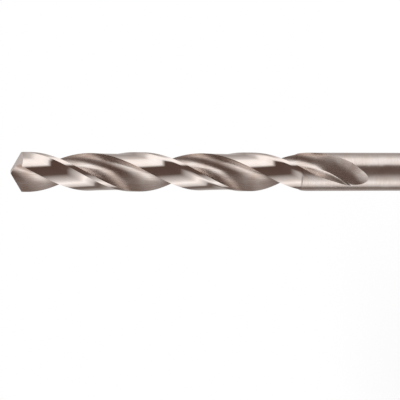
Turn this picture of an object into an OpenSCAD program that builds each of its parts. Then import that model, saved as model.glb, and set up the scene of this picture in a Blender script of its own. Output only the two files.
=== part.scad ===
// Twist drill bit, jobber length, ground from one round bar.
// It stands on its shank end: +Z is the drill's axis, the point is at the top,
// and the origin is the centre of the shank's end face.
// The two flutes are right-hand, so the drill cuts when it turns clockwise, seen from the shank.

/* [Drill] */
// Cutting diameter, across the outer corners of the lips
cutting_d = 8.9; // [8.5:0.1:9.5]
// Length from the shank's end face to the chisel edge
overall_len = 125; // [115:1:140]
// Length from the chisel edge to the end of the flutes' run-out
flute_len = 81; // [70:1:92]
// Length along the axis of one full turn of the flutes
lead = 50.6; // [44:0.2:60]

/* [Shank] */
// Diameter of the plain shank
shank_d = 8.85; // [8.4:0.05:8.9]
// Width of the chamfer round the shank's end
shank_chamfer = 0.9; // [0.3:0.1:1.5]

/* [Point] */
// Included angle of the point
point_angle = 118; // [110:1:135]
// Thickness of the web between the flutes at the point
web_tip = 1.4; // [1.1:0.1:2]
// Slope of the flank just behind the outer corner of a lip, in degrees
lip_clearance = 9; // [7:1:14]

/* [Flutes and lands] */
// Thickness of the web where the run-out starts
web_back = 2; // [1.6:0.1:2.8]
// Arc of one land, from its heel to its leading edge, in degrees
land_arc = 83; // [78:1:88]
// Width of the margin along the leading edge
margin_w = 1; // [0.7:0.1:1.3]
// Width of the step between the cleared land and the margin
step_w = 0.5; // [0.4:0.05:0.7]
// How far the land is cleared below the cutting diameter
clearance_depth = 0.38; // [0.2:0.02:0.5]
// How far the heel rises above the deepest part of the cleared land
heel_rise = 0.15; // [0.05:0.05:0.2]
// Arc of the flat between the round clearance and the step, in degrees
flat_arc = 18; // [14:1:20]

/* [Run-out] */
// Length over which the flute lifts out of the bar
run_out_len = 12.4; // [10:0.2:15]
// Distance from the end of the flute to the end of the cleared land
land_end = 15.3; // [14:0.1:20]
// Length of the slope at the end of the cleared land
land_ramp = 1.9; // [1:0.1:3]

/* [Hidden] */

$fn = 96;

cutting_r = cutting_d / 2;
shank_r = shank_d / 2;
point_half = point_angle / 2;
flute_arc = 180 - land_arc;
turn_per_mm = 360 / lead;
flute_z = overall_len - flute_len;

// The flank of each lip is part of a cone that leans back over the axis
flank_cone_half = 35;
flank_reach = 20;
flank_len = 2 * overall_len;

// The fluted body passes the point's flanks by this much, and is sunk this far into the shank
point_over = 0.8;
seat_depth = 0.5;
seat_inset = 0.1;
shank_top = flute_z - seat_depth / 4;

// Steps along the flute: in the run-out, on the land's ramp, and the length of one on the body
run_steps = 24;
ramp_steps = 4;
body_step = 1.15;

// Points across one land and flute
rake_parts = [1, 0.8, 0.6, 0.4, 0.2];
scoop_steps = 12;
round_steps = 5;
half_n = len(rake_parts) + scoop_steps + 1 + round_steps + 4;

// While a flute lifts out of the bar it keeps its width over this share of the run-out,
// and its bottom rises with this power of the way out
full_width_share = 0.7;
lift = 1.3;
// The scoop leans towards its heel side, and gets a little narrower
scoop_turn = 7.6;
scoop_narrow = 3.8;
lean_over = 0.5;
// From here on a ridge climbs from the web up the leading side of the scoop
ridge_from = 0.15;
// The rake face closes against the ridge
edge_turn = 33;
edge_turn_end = 5;
edge_turn_power = 12;
rake_closed = 0.73;
// The last of the scoop swings round with the helix
end_turn = 12;
end_arc = 3;

// Where the two fans of an end cap meet: inside a land, this far behind its leading edge
hub_r = cutting_r * 2 / 3;
hub_back = 37;

function turned(p, a) = [p[0] * cos(a) - p[1] * sin(a), p[0] * sin(a) + p[1] * cos(a)];
function polar(r, a) = [r * cos(a), r * sin(a)];
function angle(p) = atan2(p[1], p[0]);
function mix(a, b, t) = a + (b - a) * t;
function clamped(t) = min(max(t, 0), 1);
function eased(t) = let (u = clamped(t)) u * u * (3 - 2 * u);
function within(p, r) = norm(p) > r ? p * r / norm(p) : p;
function arc_deg(w) = w / cutting_r * 180 / PI;

// A straight lip at web half thickness b, carried down the helix into one cross-section:
// c is the distance along the lip from the middle
function rake_point(b, c) = turned([c, b], turn_per_mm * c / tan(point_half));
function lip_half(b) = sqrt(cutting_r * cutting_r - b * b);
function edge_angle(b) = angle(rake_point(b, lip_half(b)));

// Half thickness of the web, and radius of the bar, at distance s from the end of the flute
function web_half(s) =
    let (t = clamped((s - run_out_len) / (flute_len - run_out_len))) mix(web_back, web_tip, t) / 2;
function bar_r(s) = mix(shank_r, cutting_r, clamped((s - land_end) / (flute_len - land_end)));

// Distance of the cleared land from the axis, at angle a from the heel
round_arc = land_arc - arc_deg(margin_w + step_w) - flat_arc;
step_end = round_arc + flat_arc + arc_deg(step_w);
clear_r = cutting_r - clearance_depth;
function land_r(a) = a < round_arc
    ? clear_r + heel_rise * pow(1 - a / round_arc, 2)
    : clear_r / cos(a - round_arc);

// Circle through the bottom of a flute and its heel: [its radius, half of its arc]
function scoop_of(bottom, heel) =
    let (rise = heel[1] - bottom, r = (heel[0] * heel[0] + rise * rise) / (2 * rise))
    [r, atan2(abs(heel[0]), r - rise)];
function scoop_point(bottom, r, a) = [-r * sin(a), bottom + r * (1 - cos(a))];

// Half arc of the scoop that is still inside the bar of radius bar, while the flute closes
function narrow_arc(bottom, r, bar) =
    let (away = bottom + r, open_cos = (bar * bar + away * away - r * r) / (2 * bar * away))
    asin(bar * sin(max(acos(min(open_cos, 1)), end_arc)) / r);

// Angle of the leading edge at share u of the way out: it closes on the ridge,
// and opens again on the plain bar
function edge_at(b, u, ridge_at) =
    let (moved = edge_turn * u + edge_turn_end * pow(u / full_width_share, edge_turn_power))
    u < rake_closed
        ? min(edge_angle(b) + moved, ridge_at)
        : mix(ridge_at, edge_angle(b), eased((u - rake_closed) / (1 - rake_closed)));

// One flute and the land behind it, in the cross-section at distance s from the end of the flute.
// It runs from the leading edge down the rake face, round the flute to the heel,
// and over the cleared land and its margin to the next leading edge.
function half_ring(s) =
    let (
        b = web_half(s),
        r = bar_r(s),
        u = clamped(1 - s / run_out_len),
        wide = min(u, full_width_share),
        past = (u - wide) / (1 - full_width_share),
        cleared = clamped((s - land_end) / land_ramp),
        lean = eased(u / lean_over),

        full_heel = edge_angle(b) + flute_arc,
        heel = polar(mix(r, land_r(0), cleared), full_heel - scoop_narrow * lean),
        bottom = mix(b, shank_r, pow(u, lift)),
        circle = scoop_of(mix(b, shank_r, pow(wide, lift)), heel),
        scoop_r = circle[0],
        scoop_arc = past > 0 ? narrow_arc(bottom, scoop_r, r) : circle[1],
        climbed = clamped((wide - ridge_from) / (full_width_share - ridge_from)),
        ridge_a = scoop_arc * (1 - pow(1 - climbed, 2)),
        scoop = [for (i = [0:scoop_steps])
            let (a = mix(-ridge_a, scoop_arc, i / scoop_steps))
            within(turned(scoop_point(bottom, scoop_r, a), scoop_turn * lean), r)],

        ridge = scoop[0],
        edge_a = edge_at(b, u, angle(ridge)),
        full_rake = rake_point(b, lip_half(b)) - [0, b],
        drawn = polar(r, edge_a) - ridge,
        rake_turn = angle(drawn) - angle(full_rake),
        shrink = norm(drawn) / norm(full_rake),
        rake = [for (f = rake_parts)
            u < rake_closed
                ? ridge + shrink * turned(rake_point(b, f * lip_half(b)) - [0, b], rake_turn)
                : polar(r, mix(angle(ridge), edge_a, f))],

        heel_a = angle(scoop[scoop_steps]),
        spread = (edge_a + 180 - heel_a) / land_arc,
        land = [for (a = concat(
                [for (i = [1:round_steps]) i * round_arc / round_steps],
                [round_arc + flat_arc / 2, round_arc + flat_arc]))
            polar(mix(r, land_r(a), cleared), heel_a + a * spread)],
        margin = [for (a = [step_end, (step_end + land_arc) / 2]) polar(r, heel_a + a * spread)],
        straighten = edge_angle(web_tip / 2) - edge_angle(b) + end_turn * past * past,
        twist = turn_per_mm * (s - flute_len) + straighten
    )
    [for (p = concat(rake, scoop, land, margin)) turned(p, twist)];

function full_ring(s) = let (h = half_ring(s)) concat(h, [for (p = h) -p]);

run_s = [for (i = [0:run_steps]) run_out_len * i / run_steps];
ramp_s = [for (i = [0:ramp_steps]) land_end + land_ramp * i / ramp_steps];
body_from = land_end + land_ramp;
body_to = flute_len + point_over;
body_steps = ceil((body_to - body_from) / body_step);
body_s = [for (i = [1:body_steps]) mix(body_from, body_to, i / body_steps)];
ring_s = concat(run_s, ramp_s, body_s);

// Stacked cross-sections from the seat in the shank to above the point
module fluted_body() {
    seat = full_ring(0) * (1 - seat_inset / shank_r);
    rings = concat([seat], [for (s = ring_s) full_ring(s)]);
    heights = concat([flute_z - seat_depth], [for (s = ring_s) flute_z + s]);
    n = 2 * half_n;
    top = (len(rings) - 1) * n;
    hubs = [for (k = [0, len(rings) - 1], side = [1, -1])
        let (middle = side * polar(hub_r, angle(rings[k][0]) - hub_back))
        [middle[0], middle[1], heights[k]]];
    hub = len(rings) * n;
    rake_n = len(rake_parts);
    // A cap is two fans, one for each land, that meet along the web
    function fan(first, from, centre) = concat(
        [for (i = [0:half_n - 1]) [first + (from + i) % n, first + (from + i + 1) % n, centre]],
        [[first + (from + half_n) % n, first + from, centre]]);
    bottom_cap = concat(fan(0, rake_n, hub + 1), fan(0, rake_n + half_n, hub));
    top_cap = concat(fan(top, rake_n, hub + 3), fan(top, rake_n + half_n, hub + 2));
    walls = [for (k = [0:len(rings) - 2], i = [0:n - 1], half = [0, 1])
        let (a = k * n + i, b = k * n + (i + 1) % n)
        half == 0 ? [a, b + n, b] : [a, a + n, b + n]];
    polyhedron(
        points = concat(
            [for (k = [0:len(rings) - 1], p = rings[k]) [p[0], p[1], heights[k]]],
            hubs),
        faces = concat(walls, bottom_cap, [for (f = top_cap) [f[2], f[1], f[0]]]),
        convexity = 10);
}

module shank() {
    rotate_extrude()
        polygon([
            [0, 0],
            [shank_r - shank_chamfer, 0],
            [shank_r, shank_chamfer],
            [shank_r, shank_top],
            [0, shank_top]]);
}

// How far a flank's cone lies below its own tip, at distance x along and y across its upper line
function flank_fall(x, y) =
    let (
        lean = point_half - flank_cone_half,
        k = pow(cos(lean), 2) - pow(cos(flank_cone_half), 2),
        m = x * sin(lean) * cos(lean),
        q = x * x * (pow(sin(lean), 2) - pow(cos(flank_cone_half), 2))
            - y * y * pow(cos(flank_cone_half), 2)
    )
    (sqrt(m * m - k * q) - m) / k;

// Everything under the flank behind one lip
module flank() {
    corner_len = flank_reach + cutting_r / sin(point_half);
    side = web_tip / 2 + corner_len * tan(flank_cone_half) * tan(lip_clearance);
    back = flank_reach * sin(point_half);
    translate([-back, side, overall_len + flank_fall(back, side)])
        rotate([0, 180 - point_half + flank_cone_half, 0])
            cylinder(h = flank_len, r1 = 0, r2 = flank_len * tan(flank_cone_half));
}

module drill_bit() {
    color([0.72, 0.70, 0.68]) {
        shank();
        intersection() {
            fluted_body();
            intersection() {
                flank();
                rotate([0, 0, 180]) flank();
            }
        }
    }
}

drill_bit();
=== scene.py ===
"""A ground steel twist drill bit, and the pale stage that it stands on."""

from cmath import phase, rect
from math import acos, asin, atan2, ceil, cos, pi, radians, sin, sqrt, tan

import bpy
from bpy.props import FloatProperty, FloatVectorProperty, PointerProperty
from mathutils import Matrix, Vector
from mathutils.geometry import delaunay_2d_cdt


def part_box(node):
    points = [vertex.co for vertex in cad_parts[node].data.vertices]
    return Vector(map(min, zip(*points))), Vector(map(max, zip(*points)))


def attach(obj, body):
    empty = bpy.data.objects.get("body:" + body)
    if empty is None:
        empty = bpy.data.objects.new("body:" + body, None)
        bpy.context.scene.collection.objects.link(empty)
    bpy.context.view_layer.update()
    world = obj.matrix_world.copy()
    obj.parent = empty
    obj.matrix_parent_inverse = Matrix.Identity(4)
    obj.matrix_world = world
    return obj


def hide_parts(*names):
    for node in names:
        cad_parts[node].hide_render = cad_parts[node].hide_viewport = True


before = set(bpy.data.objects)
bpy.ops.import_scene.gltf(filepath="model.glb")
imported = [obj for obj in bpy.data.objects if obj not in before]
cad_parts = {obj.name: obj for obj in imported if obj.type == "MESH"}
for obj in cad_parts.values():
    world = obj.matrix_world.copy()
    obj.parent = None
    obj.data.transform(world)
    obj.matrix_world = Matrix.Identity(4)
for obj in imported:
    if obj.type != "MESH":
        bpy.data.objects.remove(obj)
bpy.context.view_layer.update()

bl_info = {
    "name": "Twist drill bit",
    "version": (1, 0, 0),
    "blender": (4, 5, 0),
    "location": "View3D > Sidebar > Drill",
    "description": "Makes a ground steel twist drill bit and the stage that it stands on",
    "category": "Add Mesh",
}

NODE = "drill_bit"
BODY = "root"
LOW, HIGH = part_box(NODE)

# The bar is made as equal halves, each with one flute and one land
FLUTES = 2

# The four kinds of ground surface, as the number that each face carries
SURFACE = "surface"
SHANK, FLUTE, LAND, FLANK = range(4)
# How much painted shade darkens a point of a flute's rake face, from 0 to 1
PAINTED_SHADE = "dull"

WHITE = (1, 1, 1, 1)
NODE_SPACING = 220


def length(name, description, default, **more):
    return FloatProperty(name=name, description=description, default=default,
                         unit="LENGTH", precision=5, **more)


def turn(name, description, degrees):
    return FloatProperty(name=name, description=description, default=radians(degrees),
                         subtype="ANGLE")


def gloss(name, description, default):
    return FloatProperty(name=name, description=description, default=default,
                         min=0, max=1, subtype="FACTOR")


def colour(name, description, default):
    return FloatVectorProperty(name=name, description=description, default=default,
                               subtype="COLOR", min=0, soft_max=1)


class DrillSizes(bpy.types.PropertyGroup):
    """Sizes of the drill, in metres, as its solid has them"""

    cutting_d: length("Cutting diameter", "Across the outer corners of the lips", 0.0089)
    overall_len: length("Overall length", "From the shank's end to the chisel edge", HIGH.z - LOW.z)
    flute_len: length("Flute length", "From the chisel edge to the end of the run-out", 0.081)
    lead: length("Lead", "Length of one full turn of the flutes", 0.0506)
    shank_d: length("Shank diameter", "Diameter of the plain shank", 0.00885)
    shank_chamfer: length("Shank chamfer", "Width of the chamfer on the shank's end", 0.0009)
    point_angle: turn("Point angle", "Included angle of the point", 118)
    web_tip: length("Web at the point", "Thickness between the flutes at the point", 0.0014)
    lip_clearance: turn("Lip clearance", "Slope of the flank behind a lip's corner", 9)
    web_back: length("Web at the back", "Thickness where the run-out starts", 0.002)
    land_arc: turn("Land arc", "From a land's heel to its leading edge", 83)
    margin_w: length("Margin width", "Along the leading edge", 0.001)
    step_w: length("Step width", "Between the cleared land and the margin", 0.0005)
    clearance: length("Body clearance", "Depth of the cleared land", 0.00038)
    heel_rise: length("Heel rise", "How far the heel rises above the cleared land", 0.00015)
    flat_arc: turn("Flat arc", "Of the flat beside the step", 18)
    run_out_len: length("Run-out length", "Over which a flute lifts out of the bar", 0.0124)
    land_end: length("Land end", "From the flute's end to the cleared land's end", 0.0153)
    land_ramp: length("Land ramp", "Length of the slope at the cleared land's end", 0.0019)


class SteelFinish(bpy.types.PropertyGroup):
    """Colours and gloss of the ground steel"""

    steel: colour("Steel", "Colour of the bright steel", (0.765, 0.71, 0.68))
    # The oil film's warm tint; laid on more heavily in the flutes, it also darkens them as painted
    # shade
    tint: colour("Tint", "Warm tint of the dried oil film", (0.58, 0.47, 0.41))
    # Painted shade: this dark colour darkens the rake face in the run-out, where that face turns away
    # from the light walls
    dull: colour("Dull", "Colour where the wheel leaves the rake face dull", (0.26, 0.22, 0.195))
    land_roughness: gloss("Land roughness", "Of the polished lands", 0.08)
    flute_roughness: gloss("Flute roughness", "Of the ground flutes", 0.28)
    flank_roughness: gloss("Flank roughness", "Of the ground point", 0.24)
    shank_roughness: gloss("Shank roughness", "Of the plain shank", 0.24)


class StageSizes(bpy.types.PropertyGroup):
    """The camera's place, the floor and the light"""

    azimuth: turn("Azimuth", "Of the camera round the drill, from the front towards +X", 2)
    distance: length("Distance", "From the drill's axis to the camera", 0.2822)
    side: length("Side", "Of the camera, beside the drill's axis", -0.0064)
    height: length("Height", "Of the camera over the floor", 0.13)
    look_down: turn("Look down", "How far the camera looks below the horizon", 9.57)
    roll: turn("Roll", "Turn of the picture", 0.23)
    lens: FloatProperty(name="Lens", description="Focal length of the camera", default=113.3,
                        min=1, unit="CAMERA")
    floor_r: length("Floor radius", "Radius of the pale floor", 0.26)
    shadow_r: length("Shadow radius", "Out to here the floor shows its shadows", 0.09)
    floor_colour: colour("Floor colour", "Of the pale floor", (0.9, 0.9, 0.9))
    light_colour: colour("Light colour", "Of the light walls in reflections", (1.36, 1.33, 1.31))
    dark_colour: colour("Dark colour", "Of the dark gaps in reflections", (0.066, 0.025, 0.01))
    matt_level: FloatProperty(name="Matt level", description="Of the light on matt surfaces",
                              default=0.85, min=0)


# Sections of the fluted body. A point of a section is a complex number.
def mix(a, b, t):
    return a + (b - a) * t


def clamped(t):
    return min(max(t, 0), 1)


def eased(t):
    u = clamped(t)
    return u * u * (3 - 2 * u)


def steps(first, last, count):
    """count + 1 even values from first to last."""
    return [mix(first, last, i / count) for i in range(count + 1)]


def hollow(first, last, dip, rise, count):
    """count + 1 points of a hollow from first to last. It dips and rises again by these angles
    against its chord. It is an arc of a circle where both are the same."""
    corner = first + (last - first) * rect(sin(rise) / sin(dip + rise), dip)
    weight = cos((dip + rise) / 2)
    points = []
    for t in steps(0, 1, count):
        shares = ((1 - t) ** 2, 2 * weight * t * (1 - t), t ** 2)
        points.append(sum(k * p for k, p in zip(shares, (first, corner, last))) / sum(shares))
    return points


class Section:
    """One flute and the land behind it, at any distance from the end of the flute.

    The way out tells how far the flute has lifted out of the bar: it is 0 up to the run-out,
    and 1 at the flute's end."""

    # Points across the rake face, the scoop, and the parts of the land
    rake_steps = 16
    scoop_steps = 44
    round_steps = 16
    flat_steps = 8
    margin_steps = 6

    # The flute keeps its width up to here on its way out
    full_width_share = 0.7
    # The scoop leans towards its heel side and gets a little narrower, up to here on the way out
    scoop_turn = radians(7.6)
    scoop_narrow = radians(3.8)
    lean_over = 0.5
    # The bottom of the flute rises with this power of the way out
    lift = 1.3
    # A ridge climbs from the web to the bar's surface along a bowed line, and slows down at the end
    climb_slows = 0.7
    ridge_bow = radians(13)
    # The scoop gets its flatter form up to here on the way out, and stays steeper at its heel
    flatten_over = 0.4
    heel_steeper = radians(9)
    # The leading edge turns towards the ridge, by the first angle evenly and by the second with
    # this power of the way out. From the last value on the rake face is closed
    edge_turn = radians(33)
    edge_turn_end = radians(5)
    edge_turn_power = 12
    rake_closed = 0.73
    # The scoop swings round while it closes, and its mouth ends at this half angle round the bar
    end_turn = radians(12)
    end_arc = radians(3)
    # The cleared land ends in a hollow slope, which gets steeper with this power
    land_hollow = 4

    # Painted shade darkens the rake face: from here on the way out by its leading edge, and from
    # there by the ridge. The painted shade comes over a further share, and goes from the last value on
    shade_from_edge = 0.02
    shade_from_ridge = 0.15
    shade_over = 0.22
    shade_until = 0.5
    # This share of the rake face, beside the ridge, stays free of painted shade
    unshaded_by_ridge = 0.08

    def __init__(self, size):
        self.size = size
        self.cutting_r = size.cutting_d / 2
        self.shank_r = size.shank_d / 2
        self.clear_r = self.cutting_r - size.clearance
        self.point_half = size.point_angle / 2
        self.turn_rate = 2 * pi / size.lead
        self.margin_arc = size.margin_w / self.cutting_r
        self.step_arc = size.step_w / self.cutting_r
        self.round_arc = size.land_arc - self.margin_arc - self.step_arc - size.flat_arc

    def way_out(self, s):
        return clamped(1 - s / self.size.run_out_len)

    def rake_point(self, web, c):
        """A straight lip at half web thickness web, carried down the helix into one section.
        c is the distance along the lip from the middle."""
        return complex(c, web) * rect(1, self.turn_rate * c / tan(self.point_half))

    def lip_half(self, web):
        return sqrt(self.cutting_r ** 2 - web ** 2)

    def edge_angle(self, web):
        return phase(self.rake_point(web, self.lip_half(web)))

    def web_half(self, s):
        along = clamped((s - self.size.run_out_len) / (self.size.flute_len - self.size.run_out_len))
        return mix(self.size.web_back, self.size.web_tip, along) / 2

    def bar_r(self, s):
        along = clamped((s - self.size.land_end) / (self.size.flute_len - self.size.land_end))
        return mix(self.shank_r, self.cutting_r, along)

    def cleared(self, s):
        """How much of the land's clearance the section at s has, from 0 to 1."""
        along = clamped((s - self.size.land_end) / self.size.land_ramp)
        return 1 - (1 - along) ** self.land_hollow

    def land_r(self, a):
        """Distance of the cleared land from the axis, at angle a from the heel."""
        if a < self.round_arc:
            return self.clear_r + self.size.heel_rise * (1 - a / self.round_arc) ** 2
        return self.clear_r / cos(a - self.round_arc)

    @staticmethod
    def scoop_of(bottom, heel):
        """The circle through the bottom of a flute and its heel: its radius, and half of its arc."""
        rise = heel.imag - bottom
        r = (heel.real ** 2 + rise ** 2) / (2 * rise)
        return r, atan2(abs(heel.real), r - rise)

    @staticmethod
    def scoop_point(bottom, r, a):
        return complex(-r * sin(a), bottom + r * (1 - cos(a)))

    def points(self, s):
        """The section at distance s from the end of the flute, before the helix turns it.
        It runs from the leading edge down the rake face, round the flute to the heel,
        and over the cleared land and its margin to the next leading edge."""
        out, web, r, cleared = self.way_out(s), self.web_half(s), self.bar_r(s), self.cleared(s)
        lean = eased(out / self.lean_over)
        full_heel = self.edge_angle(web) + pi - self.size.land_arc
        heel = rect(mix(r, self.land_r(0), cleared), full_heel - self.scoop_narrow * lean)
        scoop = [p * rect(1, self.scoop_turn * lean) for p in self.scoop(out, web, r, heel)]
        edge_a = self.edge_a(out, web, phase(scoop[0]))
        rake = self.rake(out, web, r, scoop[0], edge_a)
        land = self.land(r, cleared, phase(scoop[-1]), edge_a + pi)
        straight = rect(1, self.straighten(out, web))
        ring = [p * straight for p in rake + scoop + land]
        return ring + [-ring[0]]

    def scoop(self, out, web, r, heel):
        """The hollow of the flute from the ridge to the heel, before it leans over."""
        lifted = mix(web, self.shank_r, self.full_width_share ** self.lift)
        scoop_r, scoop_arc = self.scoop_of(lifted, heel)
        if out > self.full_width_share:
            bottom = mix(web, self.shank_r, out ** self.lift)
            half_arc = self.narrow_arc(bottom, scoop_r, r)
            return [self.scoop_point(bottom, scoop_r, a)
                    for a in steps(-half_arc, half_arc, self.scoop_steps)]
        way = out / self.full_width_share
        climbed = way ** 2 * (1 + self.climb_slows * (1 - way))
        ridge = mix(complex(0, web), self.scoop_point(lifted, scoop_r, -scoop_arc), climbed)
        ridge *= rect(1, -self.ridge_bow * sin(pi * climbed))
        full_arc = self.scoop_of(web, heel)[1]
        bend = mix(full_arc / 2, scoop_arc, eased(out / self.flatten_over))
        skew = self.heel_steeper * 4 * way * (1 - way)
        return hollow(ridge, heel, bend - skew, bend + skew, self.scoop_steps)

    def narrow_arc(self, bottom, scoop_r, r):
        """Half arc of the scoop that is still inside the bar, while the flute closes."""
        away = bottom + scoop_r
        open_cos = (r ** 2 + away ** 2 - scoop_r ** 2) / (2 * r * away)
        return asin(r * sin(max(acos(min(open_cos, 1)), self.end_arc)) / scoop_r)

    def edge_a(self, out, web, ridge_a):
        """Angle of the leading edge. It closes on the ridge, and opens again on the plain bar."""
        moved = self.edge_turn * out
        moved += self.edge_turn_end * (out / self.full_width_share) ** self.edge_turn_power
        full = self.edge_angle(web)
        if out < self.rake_closed:
            return min(full + moved, ridge_a)
        return mix(ridge_a, full, eased((out - self.rake_closed) / (1 - self.rake_closed)))

    def rake(self, out, web, r, ridge, edge_a):
        """The rake face from the leading edge down to the ridge, or the plain bar once it is closed."""
        shares = steps(1, 0, self.rake_steps)[:-1]
        if out >= self.rake_closed:
            return [rect(r, mix(phase(ridge), edge_a, f)) for f in shares]
        lip = self.lip_half(web)
        web_point = complex(0, web)
        drawn_in = (rect(r, edge_a) - ridge) / (self.rake_point(web, lip) - web_point)
        return [ridge + (self.rake_point(web, f * lip) - web_point) * drawn_in for f in shares]

    def land(self, r, cleared, heel_a, next_edge_a):
        """The cleared land and its margin, between the heel and the next leading edge."""
        size = self.size
        spread = (next_edge_a - heel_a) / size.land_arc
        cleared_to = self.round_arc + size.flat_arc
        across = steps(0, self.round_arc, self.round_steps)[1:]
        across += steps(self.round_arc, cleared_to, self.flat_steps)[1:]
        margin = steps(cleared_to + self.step_arc, size.land_arc, self.margin_steps)[:-1]
        return ([rect(mix(r, self.land_r(a), cleared), heel_a + a * spread) for a in across]
                + [rect(r, heel_a + a * spread) for a in margin])

    def straighten(self, out, web):
        """The turn that keeps the leading edge on one helix while the web gets thicker,
        and swings the scoop round while it closes."""
        past = max(out - self.full_width_share, 0) / (1 - self.full_width_share)
        return self.edge_angle(self.size.web_tip / 2) - self.edge_angle(web) + self.end_turn * past ** 2

    def face_kinds(self, s):
        """Which kind of surface each strip of faces is that starts from the section at s."""
        rake = SHANK if s <= self.size.run_out_len * (1 - self.rake_closed) else FLUTE
        land = LAND if s >= self.size.land_end else SHANK
        land_steps = self.round_steps + self.flat_steps + self.margin_steps + 1
        return [rake] * self.rake_steps + [FLUTE] * self.scoop_steps + [land] * land_steps

    def painted_shade_share(self, s, count):
        """How much painted shade each of the count points of the section at s gets."""
        out = self.way_out(s)
        left = 1 - eased((out - self.shade_until) / (self.full_width_share - self.shade_until))
        rake = []
        for f in steps(1, 0, self.rake_steps)[:-1]:
            start = mix(self.shade_from_ridge, self.shade_from_edge, f)
            dull = left * eased((out - start) / self.shade_over)
            rake.append(dull * clamped(f / self.unshaded_by_ridge - 1))
        return rake + [0] * (count - self.rake_steps)


class Point:
    """The ground point. The flank behind each lip is part of a cone that leans back over the axis."""

    # Half angle of that cone, and how far its tip is behind the drill's axis, along its upper line
    cone_half = radians(35)
    reach = 0.02
    # Distance between the points of the flanks, and of the chisel edge
    grid = 0.00016
    chisel_step = 0.00008
    # How the triangles are made: only inside the outline, and how near two points may be
    inside_outline = 1
    nearness = 1e-6

    def __init__(self, size):
        self.size = size
        point_half = size.point_angle / 2
        self.lean = point_half - self.cone_half
        corner_len = self.reach + size.cutting_d / 2 / sin(point_half)
        self.side = size.web_tip / 2 + corner_len * tan(self.cone_half) * tan(size.lip_clearance)
        self.back = self.reach * sin(point_half)
        self.tip_z = size.overall_len + self.fall(self.back, self.side)

    def fall(self, x, y):
        """How far the cone lies below its tip, at distance x along and y across its upper line."""
        edge, lean = cos(self.cone_half) ** 2, self.lean
        k = cos(lean) ** 2 - edge
        m = x * sin(lean) * cos(lean)
        q = x ** 2 * (sin(lean) ** 2 - edge) - y ** 2 * edge
        return (sqrt(m ** 2 - k * q) - m) / k

    def flank(self, p):
        """Height of the first lip's flank above p."""
        return self.tip_z - self.fall(self.back + p.real, p.imag - self.side)

    def height(self, p):
        return min(self.flank(p), self.flank(-p))

    def chisel_point(self, r):
        """The place at distance r from the axis where the two flanks meet."""
        return rect(r, crossing(lambda a: self.flank(rect(r, a)) - self.flank(-rect(r, a)), 0, pi))

    def chisel_edge(self, loop):
        """The points of the chisel edge inside the loop, from end to end."""
        half = [0j]
        while nearest(loop, half[-1])[1] > self.chisel_step and inside(loop, half[-1]):
            half.append(self.chisel_point(len(half) * self.chisel_step))
        return [-p for p in reversed(half[1:-1])] + half[:-1]

    def mesh(self, name, rim):
        """The two flanks and the chisel edge between them, inside the rim: [(point, height)]."""
        loop = [p for p, _ in rim]
        chisel = self.chisel_edge(loop)
        points = loop + chisel
        lines = int(self.size.cutting_d / 2 / self.grid)
        across = [i * self.grid for i in range(-lines, lines + 1)]
        for x in across:
            for y in across:
                p = complex(x, y)
                if inside(loop, p) and nearest(points, p)[1] > self.grid / 2:
                    points.append(p)
        first = len(loop)
        last = first + len(chisel) - 1
        edges = [(i, i + 1) for i in range(first, last)]
        edges += [(nearest(loop, chisel[0])[0], first), (last, nearest(loop, chisel[-1])[0])]
        big = [Vector((p.real, p.imag)) / self.grid for p in points]
        made = delaunay_2d_cdt(
            big, edges, [list(range(first))], self.inside_outline, self.nearness, True)
        heights = [z for _, z in rim] + [self.height(p) for p in points[first:]]
        corners = []
        for came_from in made[3]:
            i = came_from[0]
            corners.append((points[i].real, points[i].imag, heights[i]))
        # The flutes' mouths lie inside the outline's hull, and stay open
        faces = [face for face in made[2]
                 if inside(loop, sum(complex(*corners[i][:2]) for i in face) / len(face))]
        mesh = bpy.data.meshes.new(name)
        mesh.from_pydata(corners, [], faces)
        mark(mesh, [FLANK] * len(faces))
        return mesh


def crossing(level, low, high, halvings=40):
    """Where level, which rises through zero between low and high, is zero."""
    for _ in range(halvings):
        middle = (low + high) / 2
        if level(middle) < 0:
            low = middle
        else:
            high = middle
    return (low + high) / 2


def nearest(points, p):
    """The number of the point nearest to p, and its distance."""
    return min(((i, abs(q - p)) for i, q in enumerate(points)), key=lambda found: found[1])


def inside(loop, p):
    """Whether p lies inside the closed loop."""
    crossings = 0
    for a, b in zip(loop, loop[1:] + loop[:1]):
        if (a.imag > p.imag) != (b.imag > p.imag):
            x = mix(a.real, b.real, (p.imag - a.imag) / (b.imag - a.imag))
            crossings += x > p.real
    return crossings % 2 == 1


def mark(mesh, surfaces):
    """Writes the kind of surface to each face."""
    mesh.attributes.new(SURFACE, "INT", "FACE").data.foreach_set("value", surfaces)


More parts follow.
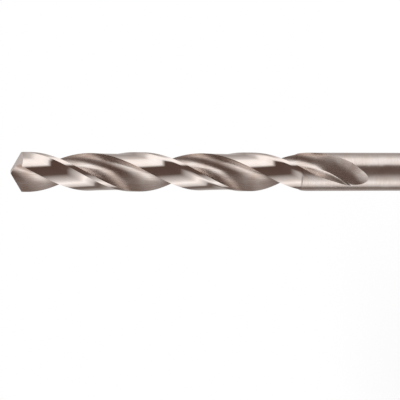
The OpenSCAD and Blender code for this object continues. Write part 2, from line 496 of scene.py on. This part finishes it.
class Bar:
    """Half of the bar as one skin: the shank, and the fluted body with one flute and its land."""

    # Distance between the rings where the form changes fast, and along the rest of the flutes
    run_step = 0.00012
    body_step = 0.0003
    # The evenly spaced columns of the shank shift to those of the flute over this length
    even_len = 0.004
    shank_rings = 6
    # Over this length below the chisel edge the rings take on the form of the point
    point_len = 0.0045
    point_rings = 14

    def __init__(self, size):
        self.size = size
        self.section = Section(size)
        self.point = Point(size)
        self.flute_z = size.overall_len - size.flute_len

    def turned(self, p, z):
        """p of a section at height z, once the helix has turned it."""
        return p * rect(1, 2 * pi * (z - self.size.overall_len) / self.size.lead)

    def column(self, i, z):
        return self.section.points(z - self.flute_z)[i]

    def column_top(self, i):
        """The height at which column i meets the ground point."""
        top = self.size.overall_len
        return crossing(lambda z: z - self.point.height(self.turned(self.column(i, z), z)),
                        top - self.point_len, top + self.point_len)

    def rings(self):
        """Each ring of the shank, of the fluted body, and of the body's end that the point cuts."""
        size, section = self.size, self.section
        first = section.points(0)
        count = len(first) - 1
        even = [rect(section.shank_r, phase(first[0]) + pi * i / count) for i in range(count + 1)]
        inner = 1 - size.shank_chamfer / section.shank_r
        plain_to = self.flute_z - self.even_len
        shank = [[(p * inner, 0) for p in even]]
        shank += [[(p, z) for p in even] for z in steps(size.shank_chamfer, plain_to, self.shank_rings)]
        for t in steps(0, 1, self.shank_rings)[1:-1]:
            z = plain_to + t * self.even_len
            shank.append([(e * rect(1, t * phase(p / e)), z) for e, p in zip(even, first)])
        body = [[(p, self.flute_z + s) for p in section.points(s)] for s in self.stations()]
        tops = [self.column_top(i) for i in range(count)]
        start = size.overall_len - self.point_len
        end = []
        for t in steps(0, 1, self.point_rings)[1:]:
            ring = [(self.column(i, z), z) for i, z in enumerate(mix(start, top, t) for top in tops)]
            end.append(ring + [(-ring[0][0], ring[0][1])])
        return shank, body, end

    def stations(self):
        """Distances of the fluted rings from the flute's end, up to where the point begins."""
        size = self.size
        ramp_to = size.land_end + size.land_ramp
        found = [0]
        for start, end, step in (
                (0, size.run_out_len, self.run_step),
                (size.run_out_len, size.land_end, self.body_step),
                (size.land_end, ramp_to, self.run_step),
                (ramp_to, size.flute_len - self.point_len, self.body_step)):
            found += steps(start, end, ceil((end - start) / step))[1:]
        return found

    def meshes(self):
        """The skin of the bar, and the ground point."""
        shank, body, end = self.rings()
        rim = [(self.turned(p, z), z) for p, z in end[-1][:-1]]
        rim += [(-p, z) for p, z in rim]
        return self.skin(shank + body + end, len(shank)), self.point.mesh("ground_point", rim)

    def skin(self, rings, shank_count):
        """The rings joined by faces, and closed at the shank's end by half a disc."""
        width = len(rings[0])
        faces = [tuple(reversed(range(width)))]
        surfaces = [SHANK]
        dull = []
        for k, ring in enumerate(rings):
            s = ring[0][1] - self.flute_z
            dull += self.section.painted_shade_share(s, width)
            if k + 1 == len(rings):
                break
            kinds = self.section.face_kinds(s)
            for i in range(width - 1):
                a = k * width + i
                faces.append((a, a + 1, a + width + 1, a + width))
                surfaces.append(SHANK if k < shank_count else kinds[i])
        skin = bpy.data.meshes.new("half_bar")
        skin.from_pydata([(p.real, p.imag, z) for ring in rings for p, z in ring], [], faces)
        mark(skin, surfaces)
        # Each point's share of painted shade, which the flute steel reads
        skin.attributes.new(PAINTED_SHADE, "FLOAT", "POINT").data.foreach_set("value", dull)
        return skin


# Building blocks for node trees
def add(tree, kind, inputs=None, **settings):
    """Adds a node with these settings. Each input takes a value, or a socket to be linked."""
    node = tree.nodes.new(kind)
    node.location = (NODE_SPACING * len(tree.nodes), 0)
    for name, value in settings.items():
        setattr(node, name, value)
    for key, value in (inputs or {}).items():
        for one in value if isinstance(value, list) else [value]:
            if isinstance(one, bpy.types.NodeSocket):
                tree.links.new(one, node.inputs[key])
            else:
                node.inputs[key].default_value = one
    return node


def math(tree, operation, *values):
    return add(tree, "ShaderNodeMath", dict(enumerate(values)), operation=operation).outputs[0]


def split(tree, vector):
    """The X, Y and Z of a vector."""
    return add(tree, "ShaderNodeSeparateXYZ", {"Vector": vector}).outputs


def between(tree, value, low, high, **settings):
    """How far value is on its way from low to high, from 0 to 1."""
    return add(tree, "ShaderNodeMapRange", {
        "Value": value, "From Min": low, "From Max": high}, **settings).outputs[0]


# These nodes have sockets of the same name for each kind of data, so they are given by number
def mixed_value(tree, share, first, second):
    return add(tree, "ShaderNodeMix", {0: share, 2: first, 3: second}, data_type="FLOAT").outputs[0]


def mixed_colour(tree, share, first, second):
    return add(tree, "ShaderNodeMix", {0: share, 6: first, 7: second}, data_type="RGBA").outputs[2]


def same_number(tree, first, second):
    return add(tree, "FunctionNodeCompare", {2: first, 3: second},
               data_type="INT", operation="EQUAL").outputs[0]


def opaque(rgb):
    return (*rgb, 1)


def sockets(tree, inputs, outputs):
    """Makes the group's named sockets: {name: (kind, default)} in, {name: kind} out."""
    for name, (kind, default) in inputs.items():
        socket = tree.interface.new_socket(name, in_out="INPUT", socket_type="NodeSocket" + kind)
        if default is not None:
            socket.default_value = default
    for name, kind in outputs.items():
        tree.interface.new_socket(name, in_out="OUTPUT", socket_type="NodeSocket" + kind)
    return tree.nodes.new("NodeGroupInput").outputs


def grinding_tree():
    """Geometry Nodes that turn the half skin along the helix, repeat it, and set the point on it."""
    tree = bpy.data.node_groups.new("Drill grinding", "GeometryNodeTree")
    given = sockets(tree, {
        "Half bar": ("Geometry", None),
        "Flutes": ("Int", FLUTES),
        "Lead": ("Float", 0.05),
        "Flute end": ("Float", 0.04),
        "Point height": ("Float", 0.1),
        "Ground point": ("Object", None),
        "Merge distance": ("Float", 1e-7),
        "Sharp above": ("Float", 0.5),
        "Shank steel": ("Material", None),
        "Flute steel": ("Material", None),
        "Land steel": ("Material", None),
        "Flank steel": ("Material", None),
    }, {"Drill": "Geometry"})
    turned = twisted(tree, given)
    whole = repeated(tree, given, turned)
    ground = pointed(tree, given, whole)
    surface = add(tree, "GeometryNodeInputNamedAttribute", {"Name": SURFACE}, data_type="INT")
    angle = add(tree, "GeometryNodeInputMeshEdgeAngle").outputs["Unsigned Angle"]
    sharp = add(tree, "FunctionNodeCompare", {"A": angle, "B": given["Sharp above"]},
                data_type="FLOAT", operation="GREATER_THAN").outputs[0]
    smooth = add(tree, "GeometryNodeSetShadeSmooth", {"Geometry": ground, "Shade Smooth": True},
                 domain="FACE").outputs[0]
    creased = add(tree, "GeometryNodeSetShadeSmooth", {
        "Geometry": smooth, "Selection": sharp, "Shade Smooth": False}, domain="EDGE").outputs[0]
    made = add(tree, "GeometryNodeRealizeInstances", {"Geometry": creased}).outputs[0]
    made = add(tree, "GeometryNodeSetMaterial", {
        "Geometry": made, "Material": given["Shank steel"]}).outputs[0]
    for kind, steel in ((FLUTE, "Flute steel"), (LAND, "Land steel"), (FLANK, "Flank steel")):
        faces = same_number(tree, surface.outputs[0], kind)
        made = add(tree, "GeometryNodeSetMaterial", {
            "Geometry": made, "Selection": faces, "Material": given[steel]}).outputs[0]
    add(tree, "NodeGroupOutput", {"Drill": made})
    return tree


def twisted(tree, given):
    """Turns each point about the axis by its height above the flute's end."""
    place = add(tree, "GeometryNodeInputPosition").outputs[0]
    height = split(tree, place)["Z"]
    fluted = math(tree, "MAXIMUM", height, given["Flute end"])
    below = math(tree, "SUBTRACT", fluted, given["Point height"])
    angle = math(tree, "MULTIPLY", math(tree, "DIVIDE", below, given["Lead"]), 2 * pi)
    turned = add(tree, "ShaderNodeVectorRotate", {"Vector": place, "Angle": angle},
                 rotation_type="Z_AXIS").outputs[0]
    return add(tree, "GeometryNodeSetPosition", {
        "Geometry": given["Half bar"], "Position": turned}).outputs[0]


def repeated(tree, given, half):
    """Repeats the half skin round the axis, once for each flute."""
    spots = add(tree, "GeometryNodePoints", {"Count": given["Flutes"]}).outputs[0]
    index = add(tree, "GeometryNodeInputIndex").outputs[0]
    angle = math(tree, "DIVIDE", math(tree, "MULTIPLY", index, 2 * pi), given["Flutes"])
    rotation = add(tree, "FunctionNodeAxisAngleToRotation", {
        "Axis": (0, 0, 1), "Angle": angle}).outputs[0]
    copies = add(tree, "GeometryNodeInstanceOnPoints", {
        "Points": spots, "Instance": half, "Rotation": rotation}).outputs[0]
    return add(tree, "GeometryNodeRealizeInstances", {"Geometry": copies}).outputs[0]


def pointed(tree, given, bar):
    """Sets the ground point on the open end of the bar."""
    point = add(tree, "GeometryNodeObjectInfo", {"Object": given["Ground point"]}).outputs["Geometry"]
    joined = add(tree, "GeometryNodeJoinGeometry", {"Geometry": [bar, point]}).outputs[0]
    return add(tree, "GeometryNodeMergeByDistance", {
        "Geometry": joined, "Distance": given["Merge distance"]}).outputs[0]


# Steel
def grind_lines_group():
    """Shader group: fine lines left by a grinding wheel, as a mask and as a normal."""
    tree = bpy.data.node_groups.new("Grinding lines", "ShaderNodeTree")
    given = sockets(tree, {
        "Vector": ("Vector", None),
        "Detail": ("Float", 4.0),
        "Depth": ("Float", 1e-6),
    }, {"Mask": "Float", "Normal": "Vector"})
    lines = add(tree, "ShaderNodeTexNoise", {
        "Vector": given["Vector"], "Scale": 1.0, "Detail": given["Detail"], "Roughness": 0.62})
    height = math(tree, "MULTIPLY", lines.outputs[0], given["Depth"])
    bump = add(tree, "ShaderNodeBump", {"Strength": 1.0, "Distance": 1.0, "Height": height})
    add(tree, "NodeGroupOutput", {"Mask": lines.outputs[0], "Normal": bump.outputs[0]})
    return tree


def helix_group():
    """Shader group: the place on the drill, with the helix of the flutes taken out."""
    tree = bpy.data.node_groups.new("Along the helix", "ShaderNodeTree")
    given = sockets(tree, {"Lead": ("Float", 0.05)}, {"Vector": "Vector"})
    place = add(tree, "ShaderNodeTexCoord").outputs["Object"]
    height = split(tree, place)["Z"]
    angle = math(tree, "MULTIPLY", math(tree, "DIVIDE", height, given["Lead"]), -2 * pi)
    turned = add(tree, "ShaderNodeVectorRotate", {"Vector": place, "Angle": angle},
                 rotation_type="Z_AXIS").outputs[0]
    add(tree, "NodeGroupOutput", {"Vector": turned})
    return tree


def film_group():
    """Shader group: the steel's colour, uneven where a thin film of oil has dried. A large amount of it
    also stands for painted shade, as in the flutes.
    """
    tree = bpy.data.node_groups.new("Oil film", "ShaderNodeTree")
    given = sockets(tree, {
        "Steel": ("Color", (0.7, 0.7, 0.7, 1)),
        "Film": ("Color", (0.6, 0.6, 0.6, 1)),
        "Amount": ("Float", 0.5),
        "Lines": ("Float", 0.5),
        "Clouds per metre": ("Float", 260.0),
        "Bare below": ("Float", 0.4),
        "Full above": ("Float", 0.62),
    }, {"Color": "Color"})
    place = add(tree, "ShaderNodeTexCoord").outputs["Object"]
    cloud = add(tree, "ShaderNodeTexNoise", {
        "Vector": place, "Scale": given["Clouds per metre"], "Detail": 3.0}).outputs[0]
    both = math(tree, "MULTIPLY", math(tree, "ADD", cloud, given["Lines"]), 0.5)
    spread = between(tree, both, given["Bare below"], given["Full above"])
    amount = math(tree, "MULTIPLY", spread, given["Amount"])
    add(tree, "NodeGroupOutput", {
        "Color": mixed_colour(tree, amount, given["Steel"], given["Film"])})
    return tree


class Steel:
    """Makes the four finishes of the one steel."""

    # Cells of the noise to the metre. They are long along the grinding lines, and narrow across them
    helix_cells = (5200, 5200, 160)
    shank_cells = (240, 240, 9000)
    point_cells = (300, 300, 0)
    point_rings = 9000.0
    # Between these levels of the lines the roughness goes from its least to its most
    least_rough = 0.3
    most_rough = 0.7

    def __init__(self, size, finish):
        self.size = size
        self.finish = finish
        self.lines = grind_lines_group()
        self.helix = helix_group()
        self.film_and_shade = film_group()

    def material(self, name, place, roughness, spread, depth, film_and_shade, dull=None):
        """place(tree) gives the vector whose noise makes the grinding lines. The lines spread the
        roughness this much to both sides, and are this deep. The film amount is how much oil film tints
        the steel; a large amount also stands for painted shade. The last colour, if given, is painted
        shade on the rake face."""
        made = bpy.data.materials.new(name)
        made.use_nodes = True
        tree = made.node_tree
        tree.nodes.clear()
        lines = add(tree, "ShaderNodeGroup", node_tree=self.lines)
        tree.links.new(place(tree), lines.inputs["Vector"])
        lines.inputs["Depth"].default_value = depth
        tint = add(tree, "ShaderNodeGroup", node_tree=self.film_and_shade)
        tint.inputs["Steel"].default_value = opaque(self.finish.steel)
        tint.inputs["Film"].default_value = opaque(self.finish.tint)
        tint.inputs["Amount"].default_value = film_and_shade
        tree.links.new(lines.outputs["Mask"], tint.inputs["Lines"])
        rough = add(tree, "ShaderNodeMapRange", {
            "Value": lines.outputs["Mask"],
            "From Min": self.least_rough, "From Max": self.most_rough,
            "To Min": roughness - spread, "To Max": roughness + spread}).outputs[0]
        base = tint.outputs["Color"]
        # Painted shade: the rake face in the run-out is darkened towards the dark colour
        if dull:
            amount = add(tree, "ShaderNodeAttribute", attribute_name=PAINTED_SHADE).outputs["Fac"]
            base = mixed_colour(tree, amount, base, opaque(dull))
        shader = add(tree, "ShaderNodeBsdfPrincipled", {
            "Base Color": base, "Metallic": 1.0, "Roughness": rough,
            "Normal": lines.outputs["Normal"]})
        add(tree, "ShaderNodeOutputMaterial", {"Surface": shader.outputs[0]})
        return made

    def scaled(self, tree, vector, cells):
        return add(tree, "ShaderNodeVectorMath", {0: vector, 1: cells}, operation="MULTIPLY").outputs[0]

    def along_helix(self, tree):
        place = add(tree, "ShaderNodeGroup", node_tree=self.helix)
        place.inputs["Lead"].default_value = self.size.lead
        return self.scaled(tree, place.outputs[0], self.helix_cells)

    def round_shank(self, tree):
        place = add(tree, "ShaderNodeTexCoord").outputs["Object"]
        return self.scaled(tree, place, self.shank_cells)

    def round_point(self, tree):
        place = split(tree, add(tree, "ShaderNodeTexCoord").outputs["Object"])
        flat = add(tree, "ShaderNodeCombineXYZ", {"X": place["X"], "Y": place["Y"]}).outputs[0]
        out = add(tree, "ShaderNodeVectorMath", {0: flat}, operation="LENGTH").outputs["Value"]
        rings = math(tree, "MULTIPLY", out, self.point_rings)
        around = split(tree, self.scaled(tree, flat, self.point_cells))
        return add(tree, "ShaderNodeCombineXYZ", {
            "X": around["X"], "Y": around["Y"], "Z": rings}).outputs[0]

    def all(self):
        """The materials by the name of the tree's input that takes them."""
        finish = self.finish
        return {
            "Shank steel": self.material(
                "shank_steel", self.round_shank, finish.shank_roughness,
                spread=0.04, depth=6e-7, film_and_shade=0.5),
            # The flute steel carries painted shade: a heavier oil tint darkens the flutes' hollows, and
            # the dark colour darkens the rake face in the run-out
            "Flute steel": self.material(
                "flute_steel", self.along_helix, finish.flute_roughness,
                spread=0.05, depth=1e-6, film_and_shade=0.9, dull=finish.dull),
            "Land steel": self.material(
                "land_steel", self.along_helix, finish.land_roughness,
                spread=0.03, depth=3e-7, film_and_shade=0.3),
            "Flank steel": self.material(
                "flank_steel", self.round_point, finish.flank_roughness,
                spread=0.05, depth=1e-6, film_and_shade=0.4),
        }


class DRILL_OT_bit(bpy.types.Operator):
    """Make the drill: half of the bar by rule, then its helix, its other half and its point by nodes"""

    bl_idname = "drill.bit"
    bl_label = "Drill bit"

    piece_name = "twist_drill_bit"
    # Points nearer than this are one, and an edge that folds by more than this is sharp
    merge_distance = 1e-7
    sharp_above = radians(24)

    def execute(self, context):
        size, finish = context.scene.drill_sizes, context.scene.drill_finish
        half, point = [bpy.data.objects.new(mesh.name, mesh) for mesh in Bar(size).meshes()]
        steels = Steel(size, finish).all()
        for made_from in (half, point):
            made_from.data.materials.append(steels["Shank steel"])
        context.scene.collection.objects.link(half)
        values = {
            "Flutes": FLUTES,
            "Lead": size.lead,
            "Flute end": size.overall_len - size.flute_len,
            "Point height": size.overall_len,
            "Ground point": point,
            "Merge distance": self.merge_distance,
            "Sharp above": self.sharp_above,
            **steels,
        }
        mesh = self.grown(context, half, values)
        for made_from in (half, point):
            bpy.data.objects.remove(made_from)
        piece = bpy.data.objects.new(self.piece_name, mesh)
        context.scene.collection.objects.link(piece)
        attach(piece, BODY)
        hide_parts(NODE)
        return {"FINISHED"}

    def grown(self, context, obj, values):
        """The mesh that the tree makes from obj with these values."""
        tree = grinding_tree()
        modifier = obj.modifiers.new("Drill grinding", "NODES")
        modifier.node_group = tree
        for item in tree.interface.items_tree:
            if item.in_out == "INPUT" and item.name in values:
                modifier[item.identifier] = values[item.name]
        made = obj.evaluated_get(context.evaluated_depsgraph_get())
        mesh = bpy.data.meshes.new_from_object(made)
        mesh.name = self.piece_name
        obj.modifiers.remove(modifier)
        if len(mesh.polygons) == 0:
            raise RuntimeError("the drill's tree gave no faces")
        return mesh


class DRILL_OT_stage(bpy.types.Operator):
    """Set the floor, the light walls round the drill, the lamp and the camera"""

    bl_idname = "drill.stage"
    bl_label = "Stage"

    # What stands round the drill, as its reflections show it. Each ring lists stops
    # (azimuth from the front towards +X in degrees, level from black to the light wall).
    walls = [
        (-180, 0.4), (-140, 0.28), (-115, 0.09), (-104, 0.12), (-97, 0.48), (-68, 1.0), (-50, 0.6),
        (-30, 0.34), (-12, 0.05), (35, 0.035), (41, 0.4), (47, 0.88), (66, 1.0), (85, 0.93),
        (100, 0.53), (130, 0.28), (180, 0.4),
    ]
    ground = [(-180, 0.2), (-115, 0.14), (-50, 0.3), (20, 0.13), (180, 0.2)]
    overhead = [
        (-180, 0.45), (-68, 0.36), (-25, 0.24), (-5, 0.08), (25, 0.06), (42, 0.42), (180, 0.45),
    ]
    # The walls fade into the floor between these heights of a unit direction, and into the overhead
    ground_fade = (-0.62, -0.26)
    overhead_fade = (0.3, 0.56)

    # Sides of the floor, and the share of its radius at which it has faded to white
    floor_sides = 96
    faded_share = 0.8

    # The lamp, in metres and watts
    lamp_place = (0.25, 0.12, 0.45)
    lamp_size = 0.3
    lamp_power = 0.9

    # Width of the camera's sensor in millimetres, and the nearest and farthest that it sees, in metres
    sensor_width = 36
    nearest_seen = 0.01
    farthest_seen = 10

    def execute(self, context):
        stage = context.scene.drill_stage
        context.scene.view_settings.view_transform = "Standard"
        self.world(context, stage)
        self.pale_floor(context, stage)
        self.lamp(context)
        self.camera(context, stage)
        return {"FINISHED"}

    def world(self, context, stage):
        """The light walls for what is shiny, one plain level for what is matt, and white behind."""
        world = bpy.data.worlds.new("light_walls")
        world.use_nodes = True
        context.scene.world = world
        tree = world.node_tree
        tree.nodes.clear()
        way = split(tree, add(tree, "ShaderNodeTexCoord").outputs["Generated"])
        angle = math(tree, "ARCTAN2", way["X"], math(tree, "MULTIPLY", way["Y"], -1.0))
        position = math(tree, "ADD", math(tree, "DIVIDE", angle, 2 * pi), 0.5)
        level = self.light_ring(tree, position, self.ground)
        for stops, fade in ((self.walls, self.ground_fade), (self.overhead, self.overhead_fade)):
            share = between(tree, way["Z"], *fade, interpolation_type="SMOOTHSTEP")
            level = mixed_value(tree, share, level, self.light_ring(tree, position, stops))
        seen = mixed_colour(tree, level, opaque(stage.dark_colour), opaque(stage.light_colour))
        rays = add(tree, "ShaderNodeLightPath").outputs
        shiny = math(tree, "MAXIMUM", rays["Is Glossy Ray"], rays["Is Transmission Ray"])
        lit = mixed_colour(tree, shiny, opaque([stage.matt_level] * 3), seen)
        shown = mixed_colour(tree, rays["Is Camera Ray"], lit, WHITE)
        background = add(tree, "ShaderNodeBackground", {"Color": shown, "Strength": 1.0})
        add(tree, "ShaderNodeOutputWorld", {"Surface": background.outputs[0]})

    def light_ring(self, tree, position, levels):
        """The level at this position round the drill, as a share of the whole turn."""
        ramp = add(tree, "ShaderNodeValToRGB", {"Fac": position})
        stops = ramp.color_ramp.elements
        while len(stops) < len(levels):
            stops.new(0.5)
        for stop, (azimuth, level) in zip(stops, levels):
            stop.position = azimuth / 360 + 0.5
            stop.color = (level, level, level, 1)
        return ramp.outputs[0]

    def pale_floor(self, context, stage):
        sides = self.floor_sides
        rim = [rect(stage.floor_r, 2 * pi * i / sides) for i in range(sides)]
        mesh = bpy.data.meshes.new("floor")
        mesh.from_pydata([(p.real, p.imag, LOW.z) for p in rim], [], [tuple(range(sides))])
        mesh.materials.append(self.floor_paint(stage))
        floor = bpy.data.objects.new("floor", mesh)
        context.scene.collection.objects.link(floor)
        floor.visible_glossy = False

    def floor_paint(self, stage):
        """Pale and matt by the drill, and fading into the white background away from it."""
        paint = bpy.data.materials.new("pale_floor")
        paint.use_nodes = True
        tree = paint.node_tree
        tree.nodes.clear()
        place = add(tree, "ShaderNodeTexCoord").outputs["Object"]
        away = add(tree, "ShaderNodeVectorMath", {0: place}, operation="LENGTH").outputs["Value"]
        fade = between(tree, away, stage.shadow_r, stage.floor_r * self.faded_share,
                       interpolation_type="SMOOTHSTEP")
        rays = add(tree, "ShaderNodeLightPath").outputs
        shiny = math(tree, "MAXIMUM", rays["Is Glossy Ray"], rays["Is Transmission Ray"])
        direct = math(tree, "MAXIMUM", rays["Is Camera Ray"], shiny)
        white = add(tree, "ShaderNodeEmission", {"Color": WHITE, "Strength": 1.0})
        matt = add(tree, "ShaderNodeBsdfDiffuse", {"Color": opaque(stage.floor_colour)})
        share = math(tree, "MULTIPLY", direct, fade)
        shown = add(tree, "ShaderNodeMixShader", {0: share, 1: matt.outputs[0], 2: white.outputs[0]})
        add(tree, "ShaderNodeOutputMaterial", {"Surface": shown.outputs[0]})
        return paint

    def lamp(self, context):
        """A broad soft lamp over the drill, which throws the floor's shadow."""
        data = bpy.data.lights.new("soft_lamp", "AREA")
        data.size = self.lamp_size
        data.energy = self.lamp_power
        lamp = bpy.data.objects.new("soft_lamp", data)
        lamp.visible_glossy = False
        context.scene.collection.objects.link(lamp)
        lamp.location = self.lamp_place
        lamp.rotation_mode = "QUATERNION"
        lamp.rotation_quaternion = lamp.location.to_track_quat("Z", "Y")

    def camera(self, context, stage):
        """The camera lies on its side, so the drill lies across the picture, its point to the left."""
        data = bpy.data.cameras.new("camera")
        data.sensor_width = self.sensor_width
        data.lens = stage.lens
        data.clip_start = self.nearest_seen
        data.clip_end = self.farthest_seen
        camera = bpy.data.objects.new("camera", data)
        context.scene.collection.objects.link(camera)
        down = stage.look_down
        forward = Vector((0, cos(down), -sin(down)))
        right = Vector((0, -sin(down), -cos(down)))
        up = Vector((1, 0, 0))
        turned = Matrix.Rotation(-stage.roll, 3, -forward)
        facing = Matrix((turned @ right, turned @ up, -forward)).transposed().to_4x4()
        place = Matrix.Translation((stage.side, -stage.distance, stage.height))
        camera.matrix_world = Matrix.Rotation(stage.azimuth, 4, "Z") @ place @ facing
        context.scene.camera = camera


class DRILL_PT_sidebar(bpy.types.Panel):
    """Lists the drill's operators and settings"""

    bl_idname = "DRILL_PT_sidebar"
    bl_label = "Drill"
    bl_space_type = "VIEW_3D"
    bl_region_type = "UI"
    bl_category = "Drill"

    def draw(self, context):
        layout = self.layout
        for operator in OPERATORS:
            layout.operator(operator.bl_idname)
        for name in GROUPS:
            group = getattr(context.scene, name)
            box = layout.box()
            for setting in group.__annotations__:
                box.prop(group, setting)


GROUPS = {"drill_sizes": DrillSizes, "drill_finish": SteelFinish, "drill_stage": StageSizes}
OPERATORS = [DRILL_OT_stage, DRILL_OT_bit]
CLASSES = [*GROUPS.values(), *OPERATORS, DRILL_PT_sidebar]


def register():
    for kind in CLASSES:
        bpy.utils.register_class(kind)
    for name, group in GROUPS.items():
        setattr(bpy.types.Scene, name, PointerProperty(type=group))


def unregister():
    for name in GROUPS:
        delattr(bpy.types.Scene, name)
    for kind in reversed(CLASSES):
        bpy.utils.unregister_class(kind)


def main():
    register()
    bpy.ops.drill.stage()
    bpy.ops.drill.bit()


if __name__ == "__main__":
    main()
